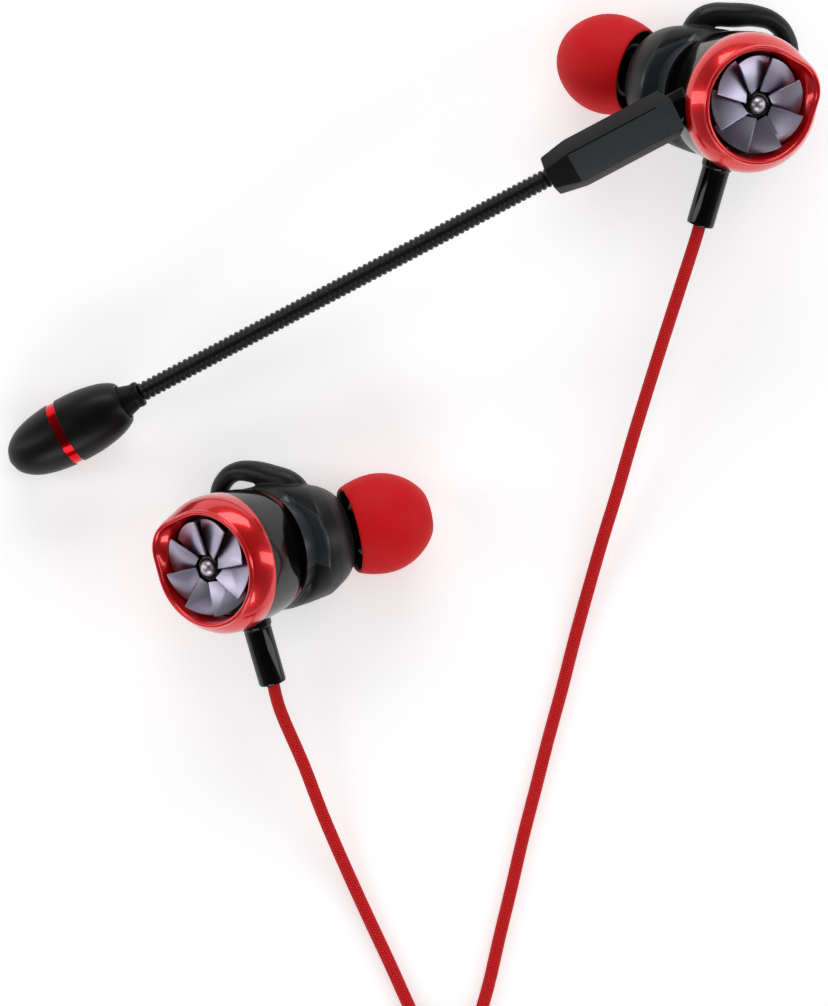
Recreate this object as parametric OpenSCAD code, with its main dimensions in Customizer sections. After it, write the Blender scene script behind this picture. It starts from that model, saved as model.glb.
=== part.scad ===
// Wired in-ear headset with a detachable boom microphone, laid out flat on a table.
// Millimetres. +X runs across the set, +Y towards the right earphone, +Z is up from the table.
// The origin is on the table, under the middle of everything that is not cord.
// Each earphone is built in a frame of its own: z = 0 is the plane of its front lip, -z runs
// into the ear side, +x leans towards the sound tube and -y is the side that the cord leaves.

/* [Earphone shell] */
// Outside radius of the front lip of each red bezel.
lip_radius = 7.5; // [7.3:0.1:7.8]
// Inside radius of the lip, where the funnel starts.
lip_opening_radius = 6.8; // [6.7:0.05:7]
// How far past the round lip its one drawn-out corner reaches.
lip_corner_reach = 1; // [0.6:0.1:1.4]
// Depth of the bezel, from the lip to the joint with the black shell.
bezel_depth = 4.2; // [4:0.1:4.8]
// Slant of that joint in degrees; the bezel is longest on its drawn-out side.
joint_slant = 14; // [8:1:15]
// Outside radius of the shell where it meets the bezel.
shell_radius = 8.65; // [8.4:0.05:9]
// Outside radius of the shell at its back edge.
shell_back_radius = 8.2; // [8:0.05:8.3]
// Length of the black shell behind the bezel.
shell_depth = 6.1; // [5.8:0.1:6.4]
// Wall of the moulded shell pieces.
wall = 1.1; // [0.9:0.1:1.3]

/* [Propeller face] */
// Outside radius of the ring of blades.
vane_radius = 6.15; // [5.8:0.05:6.2]
// Number of blades.
vane_count = 8; // [6:1:10]
// Angle that each blade is turned about its own radius, in degrees.
vane_pitch = 20; // [14:1:22]
// Thickness of a blade.
vane_thickness = 0.35; // [0.25:0.05:0.45]
// Depth of the blades behind the lip.
vane_depth = 1.1; // [1:0.05:1.3]
// Radius of the domed centre pin.
pin_radius = 0.9; // [0.7:0.05:1]

/* [Sound tube and silicone] */
// Angle between the earphone's axis and its sound tube, in degrees.
tube_angle = 39; // [37:1:41]
// Outside radius of the sound tube.
tube_radius = 2.6; // [2.4:0.05:2.7]
// Bore radius of the sound tube.
tube_bore_radius = 1.6; // [1.4:0.05:1.8]
// Widest radius of the silicone ear tip.
tip_radius = 6.35; // [5.8:0.05:6.8]
// Length of the ear tip.
tip_length = 10.0; // [9.6:0.1:11]
// Radius of the strip that the ear fin's loop is made of.
fin_radius = 1.2; // [1:0.05:1.3]

/* [Boom microphone] */
// Breadth of the boom's grip across the flats.
grip_breadth = 6.6; // [6:0.1:6.8]
// Thickness of the grip.
grip_thickness = 6.0; // [5.4:0.1:6.2]
// Length of the grip with its tapered nose.
grip_length = 17.4; // [16.5:0.1:19]
// Outside radius of the flexible neck.
neck_radius = 1.2; // [1:0.05:1.3]
// Length of the flexible neck.
neck_length = 59.2; // [50:0.1:59.4]
// Largest radius of the microphone capsule.
capsule_radius = 4.2; // [3.8:0.05:4.2]
// Length of the microphone capsule.
capsule_length = 16.3; // [15:0.1:16.6]
// Radius of the boom's plug pin.
boom_pin_radius = 1.0; // [0.9:0.01:1.05]
// Length of the pin inside its socket.
boom_pin_length = 4.6; // [4:0.1:4.8]
// Clearance of the pin in its socket, on the radius.
boom_pin_clearance = 0.03; // [0.02:0.01:0.05]

/* [Cord and plug] */
// Radius of each braided cord above the splitter.
branch_radius = 0.8; // [0.7:0.05:0.85]
// Radius of the braided cord below the splitter.
trunk_radius = 1.0; // [0.9:0.05:1.05]
// Length of the moulded sleeve under each earphone.
relief_length = 7.4; // [6.5:0.1:7.6]
// Outside radius of that sleeve.
relief_radius = 1.75; // [1.6:0.05:1.9]
// Radius of the plug's barrel, for a 3.5 mm socket.
plug_radius = 1.75; // [1.74:0.01:1.76]
// Length of the plug's barrel.
plug_length = 14; // [13.5:0.1:14.5]
// Radius of the plug's grip.
plug_grip_radius = 3.0; // [2.6:0.1:3.2]
// Length of the plug's grip.
plug_grip_length = 15; // [13:0.5:16]

/* [Hidden] */
$fn = 48;
eps = 0.02;
// Clearance between soft or moving pieces and what they sit on.
soft_gap = 0.3;
// Where each lip centre stands and how the earphone is turned, as the set is laid out.
left_place = [-26.1, -27.9, 16.4];
left_turn = [9.5, -38, 4];
right_place = [43.4, 30.0, 21.8];
right_turn = [3, 24, -11];
// Each soft fin is turned a little on its earphone, in degrees.
left_fin_turn = -3;
right_fin_turn = 8;
// The right loop is spread a little wider than the left one.
right_fin_spread = 1.1;

shell_front = -bezel_depth;
shell_back = -bezel_depth - shell_depth;
accent_depth = 0.6;
cup_front = shell_back - accent_depth;
cup_rim_radius = shell_back_radius - 1;
accent_bore_radius = cup_rim_radius - 1;
diaphragm_radius = accent_bore_radius - 0.4;
magnet_radius = diaphragm_radius - 1.2;
spigot_radius = shell_radius - wall;
deck_top = shell_front + 0.8;
well_radius = vane_radius + 0.3;
plate_thickness = 0.4;
// Turn of the blades and their ribs on the pin, in degrees.
vane_phase = -18;
// Rounding of the drawn-out corner.
corner_radius = 4.4;
hub_drop = -deck_top - plate_thickness - vane_depth;
tube_start = [0, 0, -8];
tube_turn = [0, 180 - tube_angle, 3];
tube_end = 19;
sleeve_end = 13.6;
tip_start = 14.1;
corner_angle = 147;

relief_place = [0.6, -8.2, -7.6];
relief_turn = [99.3, 0, 0];
relief_seat = 0.9;
relief_root_radius = 1.2;

// The boom leaves the right shell at this point of the earphone's frame.
socket_place = [8.93, -3.7, -5.8];
socket_turn = [0, 90, -38];
socket_radius = boom_pin_radius + 0.5;
boss_radius = 2.6;
boom_turn = [0, 100.3, 207.8];
boom_place = [32.3, 29.2, 19.95];
// The grip is rolled on its own axis and runs back to the seat that it plugs against.
grip_roll = -9.6;
grip_overrun = 1.8;
neck_start = grip_length;
neck_end = neck_start + neck_length;
collar_length = 2.1;
capsule_start = neck_end + collar_length;
ring_start = capsule_start + 0.48 * capsule_length;
ring_length = 1.15;
neck_pieces = 4;
neck_step = neck_length / neck_pieces;

splitter_place = [4.3, -96.5, 2.0];
splitter_length = 12;
coil_radius = 11;
coil_place = [4.2, -126.5, 0];
coil_width = 8.2;
coil_height = 7.6;
plug_place = [33.2, -137, 3.0];

// ---------- frames ----------
module on_left() {
  translate(left_place) rotate(left_turn) children();
}

module on_right() {
  translate(right_place) rotate(right_turn) mirror([1, 0, 0]) children();
}

module on_tube(a) {
  translate(tube_start) rotate(tube_turn) translate([0, 0, a]) children();
}

module on_relief(a) {
  translate(relief_place) rotate(relief_turn) translate([0, 0, a]) children();
}

module on_socket(a) {
  translate(socket_place) rotate(socket_turn) translate([0, 0, a]) children();
}

module on_boom(s) {
  translate(boom_place) rotate(boom_turn) translate([0, 0, s]) children();
}

module ring(outer, inner, height) {
  difference() {
    cylinder(r = outer, h = height);
    translate([0, 0, -eps]) cylinder(r = inner, h = height + 2 * eps);
  }
}

// ---------- earphone ----------
// A round level of the bezel with its drawn-out corner.
module lip_level(z, r, reach, height) {
  translate([0, 0, z]) cylinder(r = r, h = height);
  rotate([0, 0, corner_angle])
    translate([r + reach - corner_radius, 0, z]) cylinder(r = corner_radius, h = height);
}

// Everything on one side of the slanted joint between bezel and shell.
module past_joint(front) {
  translate([0, 0, shell_front]) rotate([0, -joint_slant, 0])
    translate([-20, -20, front ? 0 : -20]) cube([40, 40, 20]);
}

module bezel() {
  inner = shell_front - 3;
  color("red") difference() {
    hull() {
      lip_level(-0.25, lip_radius - 0.2, lip_corner_reach, 0.25);
      lip_level(-1.2, lip_radius + 0.65, lip_corner_reach * 0.68, 0.3);
      lip_level(-2.8, shell_radius + 0.2, lip_corner_reach * 0.25, 0.3);
      translate([0, 0, inner]) cylinder(r = shell_radius, h = 0.3);
    }
    past_joint(false);
    hull() {
      lip_level(-eps, lip_opening_radius, lip_corner_reach, 0.1);
      translate([0, 0, -vane_depth]) cylinder(r = well_radius, h = 0.1);
    }
    translate([0, 0, inner - eps]) cylinder(r = well_radius, h = -inner - vane_depth + 0.1);
    translate([0, 0, inner - eps]) cylinder(r = spigot_radius + 0.05, h = deck_top - inner + eps);
  }
}

module vane_blade() {
  rotate([-vane_pitch, 0, 0])
    translate([0, 0, -vane_thickness / 2])
      rotate([0, 0, -170 / vane_count])
        rotate_extrude(angle = 340 / vane_count)
          translate([1.2, 0]) square([vane_radius - 1.2, vane_thickness]);
}

module vanes() {
  color("silver") translate([0, 0, -vane_depth]) difference() {
    union() {
      for (i = [0 : vane_count - 1]) rotate([0, 0, vane_phase + i * 360 / vane_count]) vane_blade();
      translate([0, 0, -hub_drop]) cylinder(r = 1.5, h = hub_drop + 0.2);
    }
    translate([0, 0, -2]) cylinder(r = pin_radius - 0.15, h = 4);
  }
}

module vane_backplate() {
  color("black") difference() {
    union() {
      translate([0, 0, deck_top]) cylinder(r = well_radius - 0.05, h = plate_thickness);
      for (i = [0 : vane_count - 1])
        rotate([0, 0, vane_phase + (i + 0.5) * 360 / vane_count])
          translate([1.6, -0.3, deck_top + 0.3]) cube([4.2, 0.6, 0.35]);
    }
    translate([0, 0, deck_top - 1]) cylinder(r = pin_radius - 0.15, h = 3);
  }
}

module hub_pin() {
  color("silver") {
    translate([0, 0, deck_top]) cylinder(r = pin_radius - 0.2, h = -deck_top - vane_depth + 0.25);
    translate([0, 0, -vane_depth + 0.2]) cylinder(r = pin_radius, h = 0.3);
    translate([0, 0, -vane_depth + 0.5]) cylinder(r1 = pin_radius - 0.05, r2 = pin_radius - 0.35, h = 0.45);
  }
}

// The flat seat that the boom plugs against, kept behind the bezel.
module socket_boss() {
  intersection() {
    on_socket(-3) cylinder(r = boss_radius, h = 3);
    translate([0, 0, shell_back]) cylinder(r = 20, h = shell_depth - 0.05);
  }
}

module shell(with_socket) {
  color("black") difference() {
    union() {
      rotate_extrude() polygon([
        [0, deck_top], [spigot_radius, deck_top], [spigot_radius, shell_front],
        [shell_radius, shell_front], [shell_radius - 0.1, shell_front - 2.4],
        [shell_back_radius, shell_back], [0, shell_back]
      ]);
      translate([0, 0, shell_front]) ring(shell_radius + 0.1, spigot_radius - 0.15, 2.8);
      on_relief(-1.2) cylinder(r = 2.0, h = 1.2 + relief_seat);
      if (with_socket) socket_boss();
    }
    difference() {
      past_joint(true);
      translate([0, 0, shell_back]) cylinder(r = spigot_radius, h = deck_top - shell_back);
    }
    translate([0, 0, shell_back - eps]) cylinder(r = spigot_radius - 0.4, h = shell_depth);
    on_relief(-3) cylinder(r = relief_root_radius + 0.03, h = 6);
    if (with_socket) on_socket(-8) cylinder(r = socket_radius - 0.25, h = 9);
  }
}

module accent_ring() {
  color("darkred") translate([0, 0, cup_front]) ring(shell_back_radius - 0.15, accent_bore_radius, accent_depth);
}

module driver_unit() {
  color("silver") {
    translate([0, 0, shell_back]) cylinder(r = spigot_radius - 0.45, h = 0.8);
    translate([0, 0, shell_back + 0.8]) cylinder(r = magnet_radius, h = 1.6);
  }
}

module diaphragm() {
  color("white") translate([0, 0, shell_back - 0.25]) cylinder(r = diaphragm_radius, h = 0.25);
}

// The cup that faces the ear, from its rim to the root of the sound tube.
module cup_body(grow) {
  hull() {
    translate([0, 0, cup_front - 0.4]) cylinder(r = cup_rim_radius + grow, h = 0.4);
    on_tube(7.2) sphere(r = 4.7 + grow);
  }
}

module cup() {
  color("black") difference() {
    union() {
      cup_body(0);
      on_tube(8) cylinder(r = tube_radius, h = tube_end - 8);
    }
    cup_body(-wall);
    translate([0, 0, cup_front]) cylinder(r = 30, h = 30);
    translate([0, 0, cup_front - 0.45]) cylinder(r = cup_rim_radius - wall, h = 1);
    on_tube(4) cylinder(r = tube_bore_radius, h = 20);
    on_tube(tube_end - 0.5) cylinder(r = tube_bore_radius + 0.4, h = 1);
  }
}

module tube_mesh() {
  color("silver") on_tube(tube_end - 0.5) cylinder(r = tube_bore_radius + 0.35, h = 0.25);
}

// One round level of the sleeve, which leans over step by step from the shell to the tube.
module sleeve_level(x, z, lean, r) {
  translate([x, 0, z]) rotate([0, 180 - lean, 3]) cylinder(r = r, h = 0.2);
}

module ear_fin(loop_turn, spread) {
  color("dimgray") difference() {
    union() {
      hull() {
        translate([0, 0, cup_front - 0.8]) cylinder(r = shell_back_radius - 0.1, h = 0.5);
        sleeve_level(1.0, -13.0, 10, 8.0);
        sleeve_level(3.0, -14.7, 21.5, 7.6);
        sleeve_level(5.7, -16.1, 33, 6.9);
        on_tube(11.2) cylinder(r = 6.4, h = 0.4);
        on_tube(sleeve_end - 1.4) cylinder(r = 5.8, h = 0.4);
        on_tube(sleeve_end - 0.4) cylinder(r = 4.5, h = 0.4);
      }
      rotate([0, 0, loop_turn])
        tube_along([for (p = fin_points) [p[0] * spread, p[1] * spread, p[2]]], fin_radius);
    }
    cup_body(soft_gap);
    on_tube(6) cylinder(r = tube_radius + soft_gap, h = 12);
    translate([0, 0, cup_front - soft_gap]) cylinder(r = 30, h = 30);
  }
}

module ear_tip() {
  color("red") on_tube(tip_start) {
    rotate_extrude() polygon([
      [tube_radius + 0.05, 0.9], [tube_radius + 0.9, 0.9], [tube_radius + 0.9, 5.6],
      [tip_radius - 2.2, 6.3], [tip_radius - 1.3, 4.4], [tip_radius - 1.35, 0.2],
      [tip_radius - 0.9, 0], [tip_radius - 0.3, 1.6], [tip_radius, 3.8],
      [tip_radius - 0.25, 5.6], [tip_radius - 1.1, 7.6], [tip_radius - 2.4, 9.3],
      [tube_radius + 0.2, tip_length], [2, tip_length - 0.2], [2, 5.4], [tube_radius + 0.05, 5.2]
    ]);
  }
}

module relief() {
  color("black") difference() {
    union() {
      on_relief(relief_seat) cylinder(r = relief_radius, h = relief_length);
      on_relief(-0.6) cylinder(r = relief_root_radius, h = relief_seat + 0.6);
    }
    on_relief(-1) cylinder(r = branch_radius, h = relief_seat + 1.5);
  }
}

// ---------- boom ----------
module mic_socket() {
  color("silver") on_socket(-boom_pin_length - 1) difference() {
    cylinder(r = socket_radius - 0.3, h = boom_pin_length + 0.4);
    translate([0, 0, 0.8]) cylinder(r = boom_pin_radius + boom_pin_clearance, h = boom_pin_length);
  }
}

module boom_pin() {
  color("gold") {
    on_socket(-boom_pin_length) cylinder(r = boom_pin_radius, h = boom_pin_length + 0.2);
    on_socket(0.2) cylinder(r = boom_pin_radius + 0.3, h = 1.2);
  }
}

// One level of the six-sided grip; local x is its thickness, y its breadth.
module grip_level(s, broad, thick) {
  b = grip_breadth / 2 * broad;
  t = grip_thickness / 2 * thick;
  flat = b * 0.6;
  rotate([0, 0, grip_roll]) translate([0, 0, s]) linear_extrude(height = 0.1) polygon([
    [-t, -flat], [-t, flat], [0, b], [t, flat], [t, -flat], [0, -b]
  ]);
}

module grip_body() {
  on_boom(0) hull() {
    grip_level(-grip_overrun, 1, 1);
    grip_level(grip_length - 3.6, 1, 1);
    grip_level(grip_length - 0.1, 0.78, 0.66);
  }
}

module grip_half(up) {
  color("black") difference() {
    grip_body();
    on_boom(-3) translate([up ? 0 : -20, -10, 0]) cube([20, 20, 30]);
    on_right() on_socket(-1) cylinder(r = boom_pin_radius + 0.35, h = 2.5);
    on_right() on_socket(-6) cylinder(r = 9, h = 6.15);
    on_boom(4) cylinder(r = 1.3, h = grip_length - 6.5);
  }
}

module neck_piece(i) {
  from = neck_start + i * neck_step + (i == 0 ? 0.05 : 1.5);
  to = neck_start + (i + 1) * neck_step;
  color("black") {
    on_boom(from) cylinder(r = neck_radius, h = to - from - (i == neck_pieces - 1 ? 0.05 : 0));
    if (i < neck_pieces - 1) on_boom(to) sphere(r = neck_radius);
  }
}

module capsule_collar() {
  color("black") on_boom(neck_end) cylinder(r1 = neck_radius + 0.5, r2 = neck_radius + 0.85, h = collar_length);
}

// The capsule's outline, as shares of its length and radius.
capsule_outline = [
  [0, 0.62], [0.04, 0.72], [0.12, 0.85], [0.24, 0.95], [0.36, 1], [0.52, 1],
  [0.64, 0.95], [0.76, 0.84], [0.86, 0.66], [0.94, 0.42], [1, 0.1]
];

module capsule_solid(shrink) {
  on_boom(capsule_start) rotate_extrude() polygon(concat(
    [[0, shrink]],
    [for (p = capsule_outline)
      [max(capsule_radius * p[1] - shrink, 0.05), shrink + p[0] * (capsule_length - 2 * shrink)]],
    [[0, capsule_length - shrink]]
  ));
}

module capsule_part(from, to, inset) {
  intersection() {
    difference() {
      capsule_solid(inset);
      capsule_solid(0.8 + inset);
    }
    on_boom(from) cylinder(r = 10, h = to - from);
  }
}

module mic_element() {
  color("silver") on_boom(ring_start + 0.2) cylinder(r = 2.4, h = 2.2);
}

// ---------- cords ----------
function unit(v) = v / norm(v);
function clamp_index(i, n) = max(0, min(n - 1, i));
function smooth_point(p, i, t) =
  let (n = len(p),
       a = p[clamp_index(i - 1, n)], b = p[i],
       c = p[clamp_index(i + 1, n)], d = p[clamp_index(i + 2, n)])
  0.5 * (2 * b + (c - a) * t + (2 * a - 5 * b + 4 * c - d) * t * t
         + (3 * b - a - 3 * c + d) * t * t * t);
function smooth_path(p, steps) = concat(
  [for (i = [0 : len(p) - 2]) for (k = [0 : steps - 1]) smooth_point(p, i, k / steps)],
  [p[len(p) - 1]]);
function tangent(p, i) = unit(p[clamp_index(i + 1, len(p))] - p[clamp_index(i - 1, len(p))]);

tube_sides = 8;

module tube_along(p, r) {
  n = len(p);
  rings = [for (i = [0 : n - 1])
    let (t = tangent(p, i), side = unit(cross(t, [0.1, 0.05, 1])), up = cross(side, t))
    for (k = [0 : tube_sides - 1])
      p[i] + r * (cos(k * 360 / tube_sides) * side + sin(k * 360 / tube_sides) * up)];
  skin = [for (i = [0 : n - 2]) for (k = [0 : tube_sides - 1])
    let (a = i * tube_sides + k, b = i * tube_sides + (k + 1) % tube_sides)
    for (f = [[a, b, a + tube_sides], [b, b + tube_sides, a + tube_sides]]) f];
  last = (n - 1) * tube_sides;
  caps = [[for (k = [tube_sides - 1 : -1 : 0]) k], [for (k = [0 : tube_sides - 1]) last + k]];
  polyhedron(points = rings, faces = concat(skin, caps));
}

// The fin's loop in the earphone's frame: out of the sleeve, over the shell and back.
fin_points = smooth_path([
  [6.0, 5.0, -16.7], [4.0, 7.3, -15.3], [0.7, 8.9, -14.5], [-1.7, 9.6, -14.0], [-3.7, 9.6, -13.8],
  [-5.6, 8.6, -13.7], [-6.8, 6.8, -13.7], [-6.8, 4.6, -13.6], [-5.6, 2.5, -13.2], [-3.6, 1.3, -12.9]
], 3);

left_route = [
  [-17.5, -42.12, 7.66], [-16.5, -45.8, 6.7], [-13.7, -52.3, 5], [-11.3, -58.6, 3],
  [-8.65, -64.8, 1.6], [-5.8, -71.1, 0.95], [-2.9, -77.3, 0.85], [-0.1, -83.5, 0.95],
  [2.4, -88.5, 1.6], [3.1, -90.6, 2]
];
right_route = [
  [35.89, 15.17, 13.08], [35.2, 12.8, 12.6], [33.35, 7.05, 11.1], [31.35, 0.8, 9.3],
  [29.4, -5.45, 7.4], [27.5, -11.7, 5.5], [25.7, -18, 3.8], [23.8, -24.2, 2.4],
  [22, -30.5, 1.4], [20.3, -36.7, 0.95], [18.7, -43, 0.85], [17, -49.2, 0.85],
  [15.4, -55.5, 0.85], [13.8, -61.7, 0.85], [12.35, -68, 0.85], [10.85, -74.2, 0.85],
  [9.4, -80.5, 0.85], [7.8, -85.5, 1.1], [6, -88.9, 1.8], [5.5, -90.6, 2]
];
lead_route = [
  [4.3, -102.55, 2.0], [4.3, -104.2, 1.9], [5.3, -107.4, 1.5], [8.0, -111.2, 1.2],
  [11.0, -113.9, 1.1], [13.2, -116.2, 1.2]
];
tail_route = [
  [8.0, -114.2, 6.4], [10.6, -113.2, 6.5], [13.6, -112.0, 5.9], [18.0, -110.4, 4.1],
  [23.4, -109.2, 2.2], [28.6, -109.6, 1.6], [32.0, -112.0, 2.3], [33.2, -114.6, 3.0],
  [33.2, -116.4, 3.0]
];

module cord_piece(route, r) {
  color("red") tube_along(smooth_path(route, 2), r);
}

module trunk_coil() {
  color("red") translate([coil_place[0], coil_place[1], 0])
    ring(coil_radius + coil_width / 2, coil_radius - coil_width / 2, coil_height);
}

module coil_tie() {
  tie = 0.8;
  color("black") translate([coil_place[0] - coil_radius, coil_place[1], 0]) difference() {
    translate([-coil_width / 2 - tie - 0.1, -1.5, 0]) cube([coil_width + 2 * tie + 0.2, 3, coil_height + tie + 0.1]);
    translate([-coil_width / 2 - 0.1, -2, -eps]) cube([coil_width + 0.4, 4, coil_height + 0.1]);
  }
}

module splitter_half(up) {
  w = 5.6;
  t = 4.0;
  color("black") translate(splitter_place) difference() {
    hull() {
      for (x = [-1, 1]) for (z = [-1, 1]) {
        translate([x * (w / 2 - 1), splitter_length / 2 - 0.3, z * (t / 2 - 1)])
          rotate([90, 0, 0]) cylinder(r = 1, h = 5);
        translate([x * 0.8, -splitter_length / 2 + 0.5, z * 0.7]) rotate([90, 0, 0]) cylinder(r = 0.8, h = 0.5);
      }
    }
    translate([-10, -20, up ? -10 : 0]) cube([20, 40, 10]);
  }
}

// ---------- plug ----------
module on_plug(a) {
  translate(plug_place) rotate([90, 0, 0]) translate([0, 0, a]) children();
}

module plug_band(from, to, r) {
  on_plug(from) cylinder(r = r, h = to - from);
}

module plug_grip() {
  color("black") difference() {
    union() {
      plug_band(-plug_grip_length + 1, -0.5, plug_grip_radius);
      on_plug(-0.5) cylinder(r1 = plug_grip_radius, r2 = plug_grip_radius - 0.5, h = 0.5);
      on_plug(-plug_grip_length) cylinder(r1 = plug_grip_radius - 0.9, r2 = plug_grip_radius, h = 1);
    }
    plug_band(-plug_grip_length - 1, -plug_grip_length + 2, 1.4);
  }
}

module plug_relief() {
  color("black") {
    plug_band(-plug_grip_length - 5.5, -plug_grip_length + 2, 1.35);
    for (k = [0 : 3]) plug_band(-plug_grip_length - 0.9 - 1.3 * k, -plug_grip_length - 0.2 - 1.3 * k, 1.8);
  }
}

band = 2.6;
gap = 0.5;

module plug_sleeve() {
  color("gold") plug_band(0, plug_length - 2.3 - 2 * band - 3 * gap - 0.6, plug_radius);
}

module plug_ring(k) {
  at = plug_length - 2.9 - k * (band + gap);
  color("gold") plug_band(at - gap - band, at - gap, plug_radius);
}

module plug_tip() {
  at = plug_length - 2.9;
  color("gold") {
    plug_band(at, at + 0.9, plug_radius);
    on_plug(at + 0.9) cylinder(r1 = plug_radius, r2 = plug_radius - 0.5, h = 0.7);
    on_plug(at + 1.6) cylinder(r1 = plug_radius - 0.5, r2 = 0.5, h = 1.3);
  }
}

module plug_insulators() {
  color("black") for (k = [0 : 2])
    plug_band(plug_length - 2.9 - gap - k * (band + gap), plug_length - 2.9 - k * (band + gap), plug_radius - 0.03);
}

on_left() bezel();  // left_bezel
on_left() vanes();  // left_vanes
on_left() vane_backplate();  // left_backplate
on_left() hub_pin();  // left_pin
on_left() shell(false);  // left_shell
on_left() accent_ring();  // left_accent_ring
on_left() driver_unit();  // left_driver
on_left() diaphragm();  // left_diaphragm
on_left() cup();  // left_cup
on_left() tube_mesh();  // left_tube_mesh
on_left() relief();  // left_relief
on_left() ear_fin(left_fin_turn, 1);  // left_ear_fin
on_left() ear_tip();  // left_ear_tip
on_right() bezel();  // right_bezel
on_right() vanes();  // right_vanes
on_right() vane_backplate();  // right_backplate
on_right() hub_pin();  // right_pin
on_right() shell(true);  // right_shell
on_right() accent_ring();  // right_accent_ring
on_right() driver_unit();  // right_driver
on_right() diaphragm();  // right_diaphragm
on_right() cup();  // right_cup
on_right() tube_mesh();  // right_tube_mesh
on_right() relief();  // right_relief
on_right() ear_fin(right_fin_turn, right_fin_spread);  // right_ear_fin
on_right() ear_tip();  // right_ear_tip
on_right() mic_socket();
on_right() boom_pin();
grip_half(true);  // grip_upper
grip_half(false);  // grip_lower
neck_piece(0);  // neck_1
neck_piece(1);  // neck_2
neck_piece(2);  // neck_3
neck_piece(3);  // neck_4
capsule_collar();
color("black") capsule_part(capsule_start, ring_start, 0);  // capsule_rear
color("red") capsule_part(ring_start, ring_start + ring_length, 0.12);  // capsule_ring
color("black") capsule_part(ring_start + ring_length, capsule_start + capsule_length, 0);  // capsule_nose
mic_element();
cord_piece(left_route, branch_radius);  // cord_left
cord_piece(right_route, branch_radius);  // cord_right
cord_piece(lead_route, trunk_radius);  // cord_trunk_lead
trunk_coil();  // cord_trunk_coil
cord_piece(tail_route, trunk_radius);  // cord_trunk_tail
coil_tie();
splitter_half(true);  // splitter_upper
splitter_half(false);  // splitter_lower
plug_grip();
plug_relief();
plug_sleeve();
plug_ring(0);  // plug_ring_1
plug_ring(1);  // plug_ring_2
plug_tip();
plug_insulators();
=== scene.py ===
import math

import bpy
from mathutils import Euler, Matrix, Vector


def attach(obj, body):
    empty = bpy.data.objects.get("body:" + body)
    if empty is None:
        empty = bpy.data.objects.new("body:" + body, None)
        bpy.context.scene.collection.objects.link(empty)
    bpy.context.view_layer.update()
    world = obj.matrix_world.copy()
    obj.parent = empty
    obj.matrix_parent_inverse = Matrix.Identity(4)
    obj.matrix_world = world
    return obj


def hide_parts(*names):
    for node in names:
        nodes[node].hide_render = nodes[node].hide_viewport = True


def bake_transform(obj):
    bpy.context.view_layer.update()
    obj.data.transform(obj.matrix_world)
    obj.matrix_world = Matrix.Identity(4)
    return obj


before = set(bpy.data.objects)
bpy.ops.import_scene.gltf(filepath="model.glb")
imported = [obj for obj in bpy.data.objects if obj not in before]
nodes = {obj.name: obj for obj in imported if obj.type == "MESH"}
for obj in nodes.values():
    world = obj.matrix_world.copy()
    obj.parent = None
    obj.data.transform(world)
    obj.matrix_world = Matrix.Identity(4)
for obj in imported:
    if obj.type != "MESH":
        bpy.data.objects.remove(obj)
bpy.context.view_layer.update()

# ----------------------------------------
# Camera: straight above the set, far away with a long lens, so that nothing
# near its edges leans outwards.
# ----------------------------------------
VIEW_HEIGHT = 0.12575  # metres of table from the top of the picture to the bottom
VIEW_CENTRE = (0.00016, -0.01958)
FOCUS_HEIGHT = 0.014  # height above the table at which that scale holds
SENSOR = 36.0
LENS = 1000.0

camera_data = bpy.data.cameras.new("table_camera")
camera_data.sensor_width = SENSOR
camera_data.lens = LENS
camera_data.clip_start = 0.1
camera_data.clip_end = 20
camera = bpy.data.objects.new("table_camera", camera_data)
camera.location = (*VIEW_CENTRE, FOCUS_HEIGHT + VIEW_HEIGHT * LENS / SENSOR)
bpy.context.scene.collection.objects.link(camera)
bpy.context.scene.camera = camera
bpy.context.scene.view_settings.view_transform = "Standard"


# ----------------------------------------
# Cords: a braided nylon jacket over fine copper. One thin branch comes from each
# earphone, the two meet in a splitter, and a thicker trunk runs on to the plug.
# Most of the trunk is wound up and held by a strap.
# ----------------------------------------
BRANCH_RADIUS = 0.0008
TRUNK_RADIUS = 0.0010
LEFT_ROUTE = [
    (-17.5, -42.12, 7.66), (-16.5, -45.8, 6.7), (-13.7, -52.3, 5), (-11.3, -58.6, 3),
    (-8.65, -64.8, 1.6), (-5.8, -71.1, 0.95), (-2.9, -77.3, 0.85), (-0.1, -83.5, 0.95),
    (2.4, -88.5, 1.6), (3.1, -90.6, 2),
]
RIGHT_ROUTE = [
    (35.89, 15.17, 13.08), (35.2, 12.8, 12.6), (33.35, 7.05, 11.1), (31.35, 0.8, 9.3),
    (29.4, -5.45, 7.4), (27.5, -11.7, 5.5), (25.7, -18, 3.8), (23.8, -24.2, 2.4),
    (22, -30.5, 1.4), (20.3, -36.7, 0.95), (18.7, -43, 0.85), (17, -49.2, 0.85),
    (15.4, -55.5, 0.85), (13.8, -61.7, 0.85), (12.35, -68, 0.85), (10.85, -74.2, 0.85),
    (9.4, -80.5, 0.85), (7.8, -85.5, 1.1), (6, -88.9, 1.8), (5.5, -90.6, 2),
]
LEAD_ROUTE = [
    (4.3, -102.55, 2.0), (4.3, -104.2, 1.9), (5.3, -107.4, 1.5), (8.0, -111.2, 1.15),
]
TAIL_ROUTE = [
    (13.9, -112.0, 5.8), (18.0, -110.4, 4.1), (23.4, -109.2, 2.2), (28.6, -109.6, 1.6),
    (32.0, -112.0, 2.3), (33.2, -114.6, 3.0), (33.2, -116.4, 3.0),
]
COIL_CENTRE = (4.2, -126.5)
COIL_LAYERS = [  # height of each layer of turns and the radius of each turn in it, mm
    (1.00, (14.1, 12.05, 10.0, 7.95)),
    (2.78, (8.98, 11.03, 13.08)),
    (4.56, (14.1, 12.05, 10.0, 7.95)),
    (6.34, (8.98, 11.03, 13.08)),
]
COIL_START = 50  # degrees at which the lead has joined the outermost turn
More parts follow.
